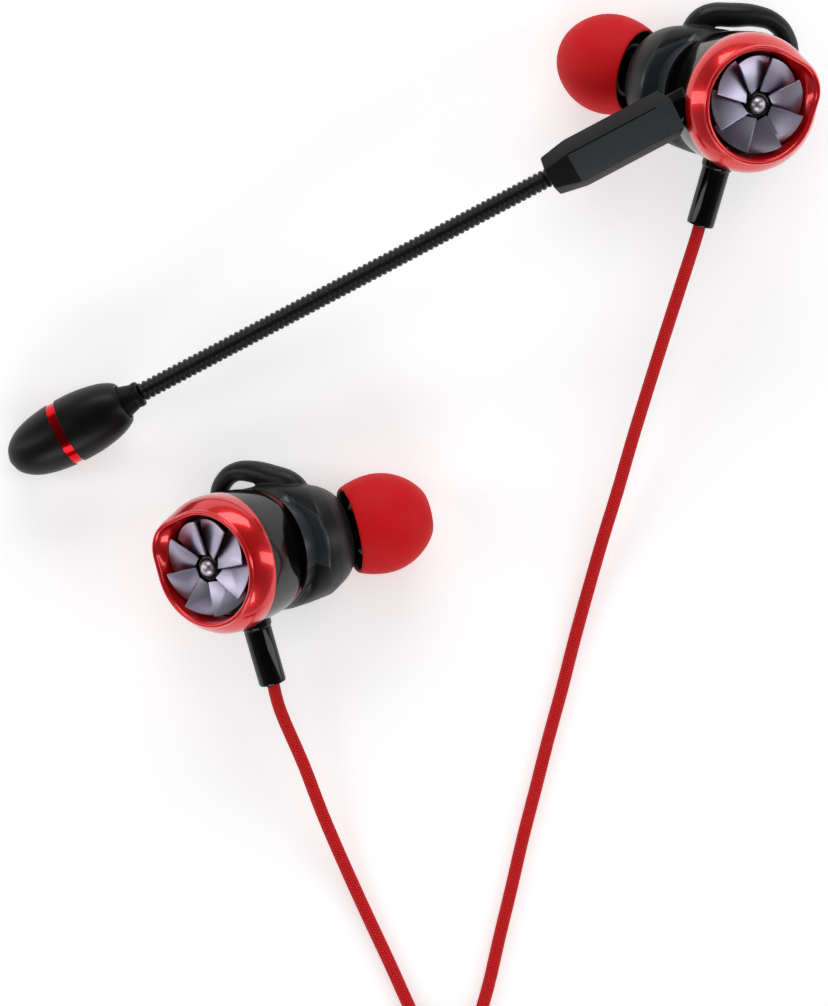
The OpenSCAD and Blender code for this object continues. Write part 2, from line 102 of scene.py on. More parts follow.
COIL_LEAVE = 0.85  # share of the last turn after which the cord leaves the coil
TURN_STEPS = 36
SLIP_FROM = 0.8  # share of a turn after which the cord slips over to the next
COIL_RUN_OFF = [  # degrees, distance outside the last turn and height above it, mm
    (98, 0.05, 0), (87, 0.2, 0.15), (76, 0.9, 0.3), (65, 2.1, 0.1),
]


def smooth_route(points, steps):
    """The points of a soft curve through all of these, in metres."""
    p = [Vector(q) for q in points]
    line = []
    for i in range(len(p) - 1):
        a, b, c, d = p[max(i - 1, 0)], p[i], p[i + 1], p[min(i + 2, len(p) - 1)]
        for k in range(steps):
            t = k / steps
            line.append(0.5 * (2 * b + (c - a) * t + (2 * a - 5 * b + 4 * c - d) * t * t
                               + (3 * b - a - 3 * c + d) * t ** 3) * 0.001)
    line.append(p[-1] * 0.001)
    return line


def line_length(line):
    return sum((b - a).length for a, b in zip(line, line[1:]))


def coil_point(degrees, radius, height):
    angle = math.radians(degrees)
    return Vector((COIL_CENTRE[0] + radius * math.cos(angle),
                   COIL_CENTRE[1] + radius * math.sin(angle), height))


def coil_line():
    """The wound part of the trunk, turn after turn, each a cord's width from the last."""
    turns = [(r, z) for z, radii in COIL_LAYERS for r in radii]
    line = []
    for i, (r, z) in enumerate(turns):
        nr, nz = turns[i + 1] if i + 1 < len(turns) else (r, z)
        for k in range(TURN_STEPS):
            t = k / TURN_STEPS
            if i + 1 == len(turns) and t > COIL_LEAVE:
                break
            s = max(0.0, (t - SLIP_FROM) / (1 - SLIP_FROM))
            s = s * s * (3 - 2 * s)
            line.append(coil_point(COIL_START - 360 * t, r + (nr - r) * s, z + (nz - z) * s))
    # From the last turn the cord runs on over the outer turns and down to the table.
    r, z = turns[-1]
    line += [coil_point(degrees, r + out, z + up) for degrees, out, up in COIL_RUN_OFF]
    return line


def clear_selection():
    if bpy.context.mode != "OBJECT":
        bpy.ops.object.mode_set(mode="OBJECT")
    bpy.ops.object.select_all(action="DESELECT")


def work_on(piece, edit=False):
    """Selects one piece alone and, for editing, opens it with all of it selected."""
    clear_selection()
    piece.select_set(True)
    bpy.context.view_layer.objects.active = piece
    if edit:
        bpy.ops.object.mode_set(mode="EDIT")
        bpy.ops.mesh.select_all(action="SELECT")


def mesh_of(curve, name):
    """The mesh piece that a curve draws."""
    piece = bpy.data.objects.new(name, curve)
    bpy.context.scene.collection.objects.link(piece)
    work_on(piece)
    bpy.ops.object.convert(target="MESH")
    return bpy.context.object


def laid_cord(name, line, radius):
    """A round cord along a line, with a UV map in millimetres along it and turns around it."""
    curve = bpy.data.curves.new(name, "CURVE")
    curve.dimensions = "3D"
    spline = curve.splines.new("POLY")
    spline.points.add(len(line) - 1)
    for point, place in zip(spline.points, line):
        point.co = (*place, 1)
    curve.bevel_depth = radius
    curve.bevel_resolution = 4
    curve.use_fill_caps = True
    cord = mesh_of(curve, name)
    millimetres = line_length(line) * 1000
    for corner in cord.data.uv_layers[0].data:
        corner.uv.x *= millimetres
    bpy.ops.object.shade_smooth()
    return cord


def colour(hex_text):
    """An sRGB hex colour as the linear numbers a shader takes."""
    def channel(pair):
        v = int(pair, 16) / 255
        return v / 12.92 if v <= 0.04045 else ((v + 0.055) / 1.055) ** 2.4
    return (*(channel(hex_text[i:i + 2]) for i in (1, 3, 5)), 1.0)


def add(tree, kind, inputs=None, **settings):
    """One node with its settings; an input is given a value or another node's output."""
    made = tree.nodes.new(kind)
    for name, value in settings.items():
        setattr(made, name, value)
    for name, value in (inputs or {}).items():
        if isinstance(value, bpy.types.NodeSocket):
            tree.links.new(value, made.inputs[name])
        else:
            made.inputs[name].default_value = value
    return made


def new_material(name):
    material = bpy.data.materials.new(name)
    material.use_nodes = True
    material.node_tree.nodes.clear()
    return material, material.node_tree


def finish_material(material, shader):
    add(material.node_tree, "ShaderNodeOutputMaterial", {"Surface": shader.outputs[0]})
    return material


def tones(tree, pattern, *stops):
    """A colour ramp over a pattern; a stop is (position, hex colour), the outer two first."""
    ramp = add(tree, "ShaderNodeValToRGB", {"Fac": pattern})
    for i, (position, hex_text) in enumerate(stops):
        stop = ramp.color_ramp.elements[i] if i < 2 else ramp.color_ramp.elements.new(position)
        stop.position = position
        stop.color = colour(hex_text)
    return ramp.outputs["Color"]


def relief(tree, pattern, strength, distance):
    return add(tree, "ShaderNodeBump", {
        "Height": pattern, "Strength": strength, "Distance": distance}).outputs["Normal"]


YARN_SPACING = 0.35  # mm along the cord
YARNS_ROUND = 8  # each way


# Braided nylon: soft, slightly glossy yarns crossing in a diamond weave. Painted highlight
# and painted shade: the base colour is lighter on the crowns of the crossings and darker
# in the gaps between them, and the same pattern raises the crowns.
def braided_nylon():
    material, tree = new_material("braided_nylon_red")
    uv = add(tree, "ShaderNodeUVMap", uv_map="UVMap")
    parts = add(tree, "ShaderNodeSeparateXYZ", {"Vector": uv.outputs["UV"]})
    along = add(tree, "ShaderNodeMath", {0: parts.outputs["X"], 1: math.pi / YARN_SPACING},
                operation="MULTIPLY")
    around = add(tree, "ShaderNodeMath", {0: parts.outputs["Y"], 1: math.pi * YARNS_ROUND},
                 operation="MULTIPLY")
    waves = []
    for lean in ("ADD", "SUBTRACT"):
        phase = add(tree, "ShaderNodeMath", {0: along.outputs[0], 1: around.outputs[0]},
                    operation=lean)
        wave = add(tree, "ShaderNodeMath", {0: phase.outputs[0]}, operation="SINE")
        waves.append(add(tree, "ShaderNodeMath", {0: wave.outputs[0]}, operation="ABSOLUTE"))
    weave_and_shade = add(tree, "ShaderNodeMath", {0: waves[0].outputs[0], 1: waves[1].outputs[0]},
                operation="MULTIPLY").outputs[0]
    return finish_material(material, add(tree, "ShaderNodeBsdfPrincipled", {
        # Painted highlight on the crowns and painted shade in the gaps, over the same pattern that
        # raises them.
        "Base Color": tones(tree, weave_and_shade, (0, "#A80006"), (0.85, "#F41C20"), (0.4, "#E00409")),
        "Roughness": 0.6, "IOR": 1.53, "Specular IOR Level": 0.25,
        "Normal": relief(tree, weave_and_shade, 0.55, 0.00012)}))


braid = braided_nylon()

left_line = smooth_route(LEFT_ROUTE, steps=4)
right_line = smooth_route(RIGHT_ROUTE, steps=3)
coil = coil_line()
wound = len(coil) - len(COIL_RUN_OFF)
trunk_line = smooth_route(LEAD_ROUTE + coil[:1], steps=6)[:-1]
trunk_line += [p * 0.001 for p in coil[:wound]]
trunk_line += smooth_route(coil[wound:] + TAIL_ROUTE, steps=5)

left_cord = laid_cord("left_cord", left_line, BRANCH_RADIUS)
right_cord = laid_cord("right_cord", right_line, BRANCH_RADIUS)
trunk_cord = laid_cord("trunk_cord", trunk_line, TRUNK_RADIUS)
for cord, replaced in ((left_cord, ["cord_left"]), (right_cord, ["cord_right"]),
                       (trunk_cord, ["cord_trunk_lead", "cord_trunk_coil", "cord_trunk_tail"])):
    cord.data.materials.append(braid)
    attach(cord, "set")
    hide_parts(*replaced)


# ----------------------------------------
# Table and light: a plain white sheet under a pale room, one broad soft lamp from
# above and four soft boxes around the set, which draw the long highlights.
# ----------------------------------------
TABLE_LIFT = 0.41  # what the sheet gives off to the camera, so that it shows as white


def seen_directly(tree):
    """1 for camera rays and for rays off or through glossy surfaces, and 0 for others."""
    path = add(tree, "ShaderNodeLightPath")
    both = add(tree, "ShaderNodeMath", {
        0: path.outputs["Is Camera Ray"], 1: path.outputs["Is Glossy Ray"]}, operation="ADD")
    return add(tree, "ShaderNodeMath", {
        0: both.outputs[0], 1: path.outputs["Is Transmission Ray"]},
        operation="ADD", use_clamp=True)


clear_selection()
bpy.ops.mesh.primitive_plane_add(size=8, location=(0, 0, 0))
table = bpy.context.object
table.name = "table_sheet"
paper, tree = new_material("matt_white_paper")
seen = seen_directly(tree)
lift = add(tree, "ShaderNodeMath", {0: seen.outputs[0], 1: TABLE_LIFT}, operation="MULTIPLY")
finish_material(paper, add(tree, "ShaderNodeBsdfPrincipled", {
    "Base Color": colour("#F6F6F6"), "Roughness": 0.9, "Specular IOR Level": 0.0,
    "Emission Color": (1, 1, 1, 1), "Emission Strength": lift.outputs[0]}))
table.data.materials.append(paper)

room = bpy.data.worlds.new("pale_room")
bpy.context.scene.world = room
room.use_nodes = True
tree = room.node_tree
tree.nodes.clear()
direction = add(tree, "ShaderNodeTexCoord")
height = add(tree, "ShaderNodeSeparateXYZ", {"Vector": direction.outputs["Generated"]})
walls = add(tree, "ShaderNodeValToRGB", {"Fac": height.outputs["Z"]})
walls.color_ramp.elements[0].color = (0.27, 0.27, 0.28, 1)
walls.color_ramp.elements[1].color = (0.06, 0.06, 0.065, 1)
walls.color_ramp.elements[1].position = 0.85
path = add(tree, "ShaderNodeLightPath")
backdrop = add(tree, "ShaderNodeMix", {
    "Factor": path.outputs["Is Camera Ray"], "A": walls.outputs["Color"], "B": (1, 1, 1, 1)},
    data_type="RGBA")
sky = add(tree, "ShaderNodeBackground", {"Color": backdrop.outputs["Result"], "Strength": 1.0})
add(tree, "ShaderNodeOutputWorld", {"Surface": sky.outputs["Background"]})


def soft_box(name, place, width, depth, radiance, glossy=True):
    """A rectangular lamp that faces the set, as bright all over as radiance says."""
    lamp = bpy.data.lights.new(name, "AREA")
    lamp.shape = "RECTANGLE"
    lamp.size, lamp.size_y = width, depth
    lamp.energy = radiance * math.pi * width * depth
    holder = bpy.data.objects.new(name, lamp)
    holder.location = place
    holder.rotation_euler = (-Vector(place)).to_track_quat("-Z", "Y").to_euler()
    bpy.context.scene.collection.objects.link(holder)
    holder.visible_camera = False
    holder.visible_glossy = glossy


soft_box("overhead", (0.4, 0.5, 3.0), 2.4, 2.4, 0.85, glossy=False)
soft_box("top_box", (0.0, 1.7, 0.9), 1.7, 0.7, 3.8)
soft_box("left_box", (-1.6, 0.1, 0.75), 0.5, 1.8, 2.6)
soft_box("right_box", (1.6, 0.1, 0.75), 0.5, 1.8, 2.6)
soft_box("front_box", (0.0, -1.7, 0.9), 1.5, 0.6, 4.0)


# ----------------------------------------
# Bezel: a ring of zinc alloy, electroplated and lacquered candy red. A bead runs
# round its mouth, one corner is drawn out, and a smooth funnel leads to the blades.
# ----------------------------------------
def part_frame(place, turn):
    """A frame at a place, turned by degrees about x, y and z, as the source places it."""
    turned_by = Euler([math.radians(a) for a in turn], "XYZ").to_matrix().to_4x4()
    return Matrix.Translation(place) @ turned_by


TO_METRES = Matrix.Scale(0.001, 4)
BUD_FRAMES = {  # the right earphone is the left one's mirror twin
    "left": TO_METRES @ part_frame((-26.1, -27.9, 16.4), (9.5, -38, 4)),
    "right": TO_METRES @ part_frame((43.4, 30.0, 21.8), (3, 24, -11))
    @ Matrix.Diagonal((-1, 1, 1, 1)),
}
CORNER_ANGLE = math.radians(147)
CORNER_SOFTNESS = 0.55  # radius of the corner as a share of the mouth's
BEZEL_SIDES = 144
BEZEL_LEVELS = [  # height from the lip, radius, and how far the corner is drawn out, mm
    (-8.60, 8.45, 0.00), (-7.40, 8.56, 0.00), (-6.40, 8.66, 0.02), (-5.40, 8.76, 0.05),
    (-4.40, 8.84, 0.10), (-3.60, 8.88, 0.16), (-2.90, 8.86, 0.24), (-2.30, 8.74, 0.36),
    (-1.75, 8.52, 0.52), (-1.25, 8.22, 0.70), (-0.85, 7.94, 0.84), (-0.60, 7.74, 0.91),
    (-0.46, 7.62, 0.95), (-0.38, 7.55, 0.96), (-0.24, 7.53, 0.98), (-0.10, 7.48, 0.99),
    (-0.02, 7.36, 1.00), (0.00, 7.20, 1.00), (-0.04, 7.04, 1.00), (-0.16, 6.92, 1.00),
    (-0.40, 6.84, 0.97), (-0.70, 6.75, 0.86), (-1.00, 6.66, 0.66), (-1.25, 6.58, 0.46),
    (-1.45, 6.52, 0.30), (-1.70, 6.48, 0.16), (-2.10, 6.48, 0.05), (-3.36, 6.48, 0.00),
    (-3.40, 6.60, 0.00), (-3.40, 7.60, 0.00), (-8.60, 7.60, 0.00),
]
JOINT_BEZEL, JOINT_SHELL = -5.38, -5.43  # heights on the axis, with a fine line between
JOINT_SLANT = math.radians(14)
JOINT_NORMAL = Vector((-math.sin(JOINT_SLANT), 0, math.cos(JOINT_SLANT)))


def raise_ring(name, levels, sides):
    """A piece drawn up level by level from one ring; a level is (height, radius, ...)."""
    clear_selection()
    z, r = levels[0][:2]
    bpy.ops.mesh.primitive_circle_add(vertices=sides, radius=r, fill_type="NOTHING",
                                      location=(0, 0, z))
    piece = bpy.context.object
    piece.name = name
    bpy.ops.object.transform_apply(location=True, rotation=True, scale=True)
    bpy.ops.object.mode_set(mode="EDIT")
    bpy.ops.mesh.select_all(action="SELECT")
    for level in levels[1:]:
        bpy.ops.mesh.extrude_region_move(TRANSFORM_OT_translate={"value": (0, 0, level[0] - z)})
        k = level[1] / r
        bpy.ops.transform.resize(value=(k, k, 1), center_override=(0, 0, level[0]))
        z, r = level[:2]
    bpy.ops.object.mode_set(mode="OBJECT")
    return piece


def close_wall(piece):
    """Joins the first ring of a piece to its last, so that its wall has both faces."""
    work_on(piece, edit=True)
    bpy.ops.mesh.select_all(action="DESELECT")
    bpy.ops.mesh.select_non_manifold()
    bpy.ops.mesh.bridge_edge_loops()
    face_outwards()


def close_ends(piece):
    """Fills the first and last ring of a piece."""
    work_on(piece, edit=True)
    bpy.ops.mesh.fill_holes(sides=0)
    face_outwards()


def face_outwards():
    bpy.ops.mesh.select_all(action="SELECT")
    bpy.ops.mesh.normals_make_consistent(inside=False)
    bpy.ops.object.mode_set(mode="OBJECT")


def use_modifier(piece, kind, **settings):
    """Adds one modifier with its settings and applies it."""
    work_on(piece)
    modifier = piece.modifiers.new(kind.title(), kind)
    for key, value in settings.items():
        setattr(modifier, key, value)
    bpy.ops.object.modifier_apply(modifier=modifier.name)


def cut_flat(piece, place, keep_side):
    """Cuts a piece along a plane, keeps the side that keep_side points to, closes the cut."""
    work_on(piece, edit=True)
    bpy.ops.mesh.bisect(plane_co=place, plane_no=keep_side, clear_inner=True, use_fill=True)
    face_outwards()


def smooth_faces(piece, angle=None):
    work_on(piece)
    if angle is None:
        bpy.ops.object.shade_smooth()
    else:
        bpy.ops.object.shade_smooth_by_angle(angle=math.radians(angle))


def copied(piece, name):
    """A copy of a piece with a mesh of its own."""
    copy = bpy.data.objects.new(name, piece.data.copy())
    bpy.context.scene.collection.objects.link(copy)
    return copy


def on_earphones(piece, shown, materials, bodies=("set", "set"), sides=("left", "right"),
                 replaced=()):
    """Puts a copy of a piece, made in millimetres in the earphone's frame, on each earphone."""
    for side, body in zip(sides, bodies):
        copy = copied(piece, f"{side}_{shown}")
        copy.data.transform(BUD_FRAMES[side])
        if BUD_FRAMES[side].determinant() < 0:
            copy.data.flip_normals()
        for material in materials:
            copy.data.materials.append(material)
        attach(copy, body)
        if replaced:
            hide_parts(*(f"{side}_{n}" for n in replaced))
    bpy.data.objects.remove(piece)


def corner_share(angle, radius, reach):
    """Distance to the rim of a round mouth with one soft corner drawn out by reach."""
    corner_radius = CORNER_SOFTNESS * radius
    away = radius + reach - corner_radius
    phi = abs((angle - CORNER_ANGLE + math.pi) % (2 * math.pi) - math.pi)
    tangent = math.acos(min(1, (radius - corner_radius) / away)) if reach > 0 else 0
    if phi >= tangent:
        return radius
    touch = math.atan2(corner_radius * math.sin(tangent), away + corner_radius * math.cos(tangent))
    if phi > touch:
        return radius / math.cos(tangent - phi)
    return away * math.cos(phi) + math.sqrt(corner_radius ** 2 - (away * math.sin(phi)) ** 2)


bezel = raise_ring("bezel", BEZEL_LEVELS, BEZEL_SIDES)
for vertex in bezel.data.vertices:
    level = min(BEZEL_LEVELS, key=lambda l: abs(l[0] - vertex.co.z)
                + abs(l[1] - math.hypot(vertex.co.x, vertex.co.y)))
    stretch = corner_share(math.atan2(vertex.co.y, vertex.co.x), level[1], level[2]) / level[1]
    vertex.co.x *= stretch
    vertex.co.y *= stretch
close_wall(bezel)
use_modifier(bezel, "SUBSURF", levels=1, render_levels=1)
cut_flat(bezel, (0, 0, JOINT_BEZEL), JOINT_NORMAL)
smooth_faces(bezel, 50)


def noise(tree, scale, detail):
    """Noise over a piece's own place, with about as many grains in a metre as scale says."""
    where = add(tree, "ShaderNodeTexCoord")
    return add(tree, "ShaderNodeTexNoise", {
        "Vector": where.outputs["Object"], "Scale": scale, "Detail": detail}).outputs["Fac"]


def between(tree, pattern, low, high):
    return add(tree, "ShaderNodeMapRange", {
        "Value": pattern, "To Min": low, "To Max": high}).outputs["Result"]


# Candy lacquer over bright plating: a clear gloss coat on a red metal that spreads its
# highlights a little. The flakes are drawn at 0.12 mm, coarser than real, so that they show.
def candy_lacquer():
    material, tree = new_material("candy_red_lacquer")
    flakes = noise(tree, 8000, 2)
    return finish_material(material, add(tree, "ShaderNodeBsdfPrincipled", {
        "Base Color": tones(tree, flakes, (0, "#D4060E"), (1, "#F5141C")), "Metallic": 0.6,
        "Roughness": between(tree, flakes, 0.24, 0.34),
        "Coat Weight": 1.0, "Coat Roughness": 0.06, "Coat IOR": 1.5}))


candy_red = candy_lacquer()
on_earphones(bezel, "bezel_ring", [candy_red], replaced=["bezel"])


# ----------------------------------------
# Blades: eight flat blades of metallised plastic, each turned a little about its
# own radius, so that one edge stands above the next blade and a dark slot shows.
# ----------------------------------------
BLADE_COUNT = 8
BLADE_RADIUS = 6.15
BLADE_OVERLAP = 0.72  # of two neighbours before they are pitched, mm
BLADE_THICKNESS = 0.3
BLADE_PITCH = 20
BLADE_DEPTH = 1.1
BLADE_PHASE = math.radians(-18)
BLADE_EDGE = 0.05
BLADE_ROOT = (1.95, 0, 0)  # a point of the slanted cut at the hub
BLADE_ROOT_SIDE = (0.9, -0.43, 0)

clear_selection()
half_angle = math.pi / BLADE_COUNT
bpy.ops.mesh.primitive_circle_add(vertices=120, radius=BLADE_RADIUS, fill_type="NGON",
                                  location=(0, 0, BLADE_THICKNESS / 2))
blade = bpy.context.object
bpy.ops.object.transform_apply(location=True, rotation=True, scale=True)
bpy.ops.object.mode_set(mode="EDIT")
for edge in (1, -1):
    inwards = Vector((math.sin(half_angle), edge * math.cos(half_angle), 0))
    bpy.ops.mesh.select_all(action="SELECT")
    bpy.ops.mesh.bisect(plane_co=-BLADE_OVERLAP / 2 * inwards, plane_no=inwards, clear_inner=True)
bpy.ops.mesh.select_all(action="SELECT")
bpy.ops.mesh.bisect(plane_co=BLADE_ROOT, plane_no=BLADE_ROOT_SIDE, clear_inner=True)
bpy.ops.mesh.select_all(action="SELECT")
bpy.ops.mesh.extrude_region_move(TRANSFORM_OT_translate={"value": (0, 0, -BLADE_THICKNESS)})
face_outwards()
use_modifier(blade, "BEVEL", width=BLADE_EDGE, segments=2, limit_method="ANGLE")
smooth_faces(blade, 25)
blade.data.transform(Matrix.Rotation(math.radians(-BLADE_PITCH), 4, "X"))
blades = []
for i in range(BLADE_COUNT):
    copy = copied(blade, f"blade_{i}")
    copy.data.transform(Matrix.Translation((0, 0, -BLADE_DEPTH))
                        @ Matrix.Rotation(2 * half_angle * i + BLADE_PHASE, 4, "Z"))
    blades.append(copy)
bpy.data.objects.remove(blade)


def joined(pieces, name):
    work_on(pieces[0])
    for piece in pieces[1:]:
        piece.select_set(True)
    bpy.ops.object.join()
    pieces[0].name = name
    return pieces[0]


def fine_finish(name, hex_text, rough, inputs=None, scale=4000, detail=3, stands_out=None):
    """A finish whose roughness varies over a range with one fine noise. The noise stands
    out as (strength, height in metres) where that is given."""
    material, tree = new_material(name)
    grain = noise(tree, scale, detail)
    shader = add(tree, "ShaderNodeBsdfPrincipled", {
        "Base Color": colour(hex_text), "Roughness": between(tree, grain, *rough),
        **(inputs or {})})
    if stands_out:
        tree.links.new(relief(tree, grain, *stands_out), shader.inputs["Normal"])
    return finish_material(material, shader)


# Vacuum-metallised plastic: a cool lilac-grey mirror, hazy from its lacquer.
mirror_lilac = fine_finish("metallised_plastic", "#B3AEC2", (0.32, 0.42), {"Metallic": 1.0},
                           scale=900)
on_earphones(joined(blades, "blades"), "blades", [mirror_lilac], replaced=["vanes"])


# ----------------------------------------
# Hub and backplate: black plastic behind the blades. The hub carries the roots of
# the blades and the plate closes the front of the shell, so the slots look deep.
# ----------------------------------------
HUB_LEVELS = [  # from here on a level is (height, radius), mm
    (-3.3, 2.1), (-2.0, 2.0), (-1.5, 1.85), (-1.15, 1.7), (-0.98, 1.52), (-0.92, 1.3),
    (-0.94, 1.0), (-1.05, 0.9),
]


# Piano-black ABS: injection moulded in a polished tool, nearly a mirror, with the
# faintest ripple from the way it shrinks as it cools.
def piano_black():
    material, tree = new_material("polished_black_abs")
    return finish_material(material, add(tree, "ShaderNodeBsdfPrincipled", {
        "Base Color": colour("#030404"), "IOR": 1.54, "Specular IOR Level": 0.3,
        "Roughness": between(tree, noise(tree, 3000, 4), 0.05, 0.12),
        "Normal": relief(tree, noise(tree, 260, 1), 0.02, 0.0002)}))


def turned_piece(name, levels, sides, close, rounded=False, angle=40):
    """A piece of turned form; close says which of its rings are joined or filled."""
    piece = raise_ring(name, levels, sides)
    close(piece)
    if rounded:
        use_modifier(piece, "SUBSURF", levels=1, render_levels=1)
    smooth_faces(piece, angle)
    return piece


gloss_black = piano_black()
hub = turned_piece("hub", HUB_LEVELS, 48, close_ends, rounded=True, angle=50)
on_earphones(hub, "blade_hub", [gloss_black])


def dress_node(name, material):
    """Gives a carried-over solid its finish."""
    nodes[name].data.materials.clear()
    nodes[name].data.materials.append(material)


for side in ("left", "right"):
    dress_node(f"{side}_backplate", gloss_black)


# ----------------------------------------
# Centre pin: a small turned rivet of nickel-plated steel with a domed head, pressed
# through the hub.
# ----------------------------------------
PIN_LEVELS = [
    (-3.30, 0.50), (-1.10, 0.55), (-1.02, 1.02), (-0.90, 1.06), (-0.76, 1.04), (-0.56, 0.97),
    (-0.36, 0.84), (-0.18, 0.64), (-0.06, 0.40), (-0.02, 0.08),
]

# Nickel plate over turned steel: bright, a little dulled by the tool's fine marks.
nickel = fine_finish("nickel_plate", "#C4C2CA", (0.34, 0.46), {"Metallic": 1.0}, scale=5000)
pin = turned_piece("pin", PIN_LEVELS, 32, close_ends, rounded=True, angle=50)
on_earphones(pin, "centre_pin", [nickel], replaced=["pin"])


# ----------------------------------------
# Shell: the gloss black drum behind the bezel, moulded ABS. It is barrelled a little,
# has a rounded back edge, and carries a short boss that the cord's relief stands on.
# ----------------------------------------
SHELL_LEVELS = [
    (-1.40, 8.34), (-2.10, 8.62), (-2.90, 8.79), (-3.60, 8.82), (-4.40, 8.78), (-5.40, 8.71),
    (-6.60, 8.62), (-7.80, 8.50), (-9.00, 8.38), (-9.80, 8.26), (-10.10, 8.18), (-10.24, 8.06),
    (-10.30, 7.90), (-10.30, 7.20), (-10.00, 7.10), (-1.50, 7.10),
]
shell = raise_ring("shell", SHELL_LEVELS, 128)
close_wall(shell)
use_modifier(shell, "SUBSURF", levels=1, render_levels=1)
cut_flat(shell, (0, 0, JOINT_SHELL), -JOINT_NORMAL)
smooth_faces(shell, 50)

RELIEF_FRAME = part_frame((0.6, -8.2, -7.6), (99.3, 0, 0))
BOSS_LEVELS = [
    (-1.4, 2.0), (0.5, 1.98), (0.76, 1.94), (0.86, 1.85), (0.88, 1.75), (0.88, 1.3), (0.4, 1.25),
]
boss = turned_piece("boss", BOSS_LEVELS, 48, close_ends, angle=50)
boss.data.transform(RELIEF_FRAME)
on_earphones(boss, "cord_boss", [gloss_black])
on_earphones(shell, "shell_drum", [gloss_black], replaced=["shell"])


# ----------------------------------------
# Strain relief: a straight sleeve of gloss black plastic under each shell, bored
# for the cord, with a fine collar at its top and a sharp turned edge below.
# ----------------------------------------
RELIEF_LEVELS = [
    (0.90, 1.62), (0.93, 1.72), (1.02, 1.76), (7.90, 1.75), (8.18, 1.74), (8.28, 1.69),
    (8.30, 1.58), (8.30, 1.05), (8.24, 0.96), (8.05, 0.90), (7.00, 0.88), (1.00, 0.88),
]
cord_relief = turned_piece("relief", RELIEF_LEVELS, 64, close_wall)
cord_relief.data.transform(RELIEF_FRAME)
on_earphones(cord_relief, "strain_relief", [gloss_black], replaced=["relief"])


# ----------------------------------------
# Sleeve and fin: one moulding of black liquid silicone that pulls over the sound
# tube. A smooth strip runs behind the shell, and a looped fin sits in the ear.
# ----------------------------------------
TUBE_AZIMUTH = 3
TUBE_POLAR = 141
TUBE_FRAME = part_frame((0, 0, -8), (0, TUBE_POLAR, TUBE_AZIMUTH))
SLEEVE_SIDES = 96
SLEEVE_VOXEL = 0.14
SLEEVE_SOFTENING = 16  # rounds of smoothing, which round every edge a little
SLEEVE_RINGS = [  # (place along the tube, radius), from the tip's end towards the shell
    (13.60, 3.10), (13.56, 3.85), (13.32, 4.55), (12.85, 5.20), (12.15, 5.85), (11.25, 6.42),
    (10.20, 6.86), (9.40, 7.08),
]
LEAN_RINGS = [  # (sideways, height in the earphone's frame, lean in degrees, radius)
    (5.70, -16.10, 33.0, 7.00), (3.00, -14.75, 21.5, 7.68), (1.00, -13.15, 10.0, 8.04),
]
RIDGE = LEAN_RINGS[-1]
STRIP_TOP, STRIP_RADIUS = -11.6, 7.98
STRIP_REACH = (-14, 52)  # degrees round the shell's axis
STRIP_INSIDE = 7.6  # faces nearer the axis than this belong to the bore
STRIP_BELOW = 0.05  # how far behind the ridge the strip begins
FLANGE_RINGS = [(-11.62, 7.98), (-11.54, 8.02), (-11.34, 8.06), (-11.24, 7.92)]
MOUTH_RINGS = [(-10.0, 7.5), (-11.3, 7.5)]  # the opening for the cup: height and radius
BORE_RINGS = [  # (share of the bend, place along the tube, radius), from the cup to the tip
    (0.4, 5.2, 6.3), (0.1, 8.2, 5.3), (0, 10.4, 4.6), (0, 12.0, 2.95), (0, 15.0, 2.9),
]
FIN_LINE = [
    (5.0, 3.6, -16.0), (4.0, 7.3, -15.3), (0.7, 8.9, -14.5), (-1.7, 9.6, -14.0),
    (-3.7, 9.6, -13.8), (-5.6, 8.6, -13.7), (-6.8, 6.8, -13.7), (-6.8, 4.6, -13.6),
    (-5.6, 2.5, -13.2), (-3.6, 1.3, -12.9),
]
FIN_RADII = [1.1, 1.55, 1.6, 1.4, 1.25, 1.2, 1.2, 1.2, 1.25, 1.3]


def tube_ring(along, share=0):
    """The plane of a ring on the tube's axis, turned by this share towards the shell's."""
    polar = TUBE_POLAR + (180 - TUBE_POLAR) * share
    return part_frame(TUBE_FRAME @ Vector((0, 0, along)), (0, polar, TUBE_AZIMUTH))


def drawn_body(name, rings, sides):
    """A body drawn from ring to ring, where each ring lies in a plane of its own."""
    levels = [(-i, radius) for i, (_, radius) in enumerate(rings)]
    body = raise_ring(name, levels, sides)
    planes = [matrix for matrix, _ in rings]
    for vertex in body.data.vertices:
        flat = Vector((vertex.co.x, vertex.co.y, 0))
        vertex.co = planes[round(-vertex.co.z)] @ flat
    close_ends(body)
    return body


def lean_ring(sideways, z, lean):
    """The plane of a ring beside the shell's axis that leans towards the tube."""
    return part_frame((sideways, 0, z), (0, 180 - lean, TUBE_AZIMUTH))


def hull_round(name, rings):
    """The convex body round a few rings."""
    body = drawn_body(name, rings, SLEEVE_SIDES)
    work_on(body, edit=True)
    bpy.ops.mesh.delete(type="ONLY_FACE")
    bpy.ops.mesh.select_all(action="SELECT")
    bpy.ops.mesh.convex_hull()
    face_outwards()
    return body


def sleeve_blank():
    """The bodies that make up the outside of the sleeve, without its fin and full inside."""
    dome = [(tube_ring(along), r) for along, r in SLEEVE_RINGS]
    dome += [(lean_ring(*place), r) for *place, r in LEAN_RINGS]
    strip = [(lean_ring(*RIDGE[:3]), STRIP_RADIUS), (lean_ring(0, STRIP_TOP, 0), STRIP_RADIUS)]
    flange = [(lean_ring(0, z, 0), r) for z, r in FLANGE_RINGS]
    return [hull_round("dome", dome), hull_round("strip", strip), hull_round("flange", flange)]


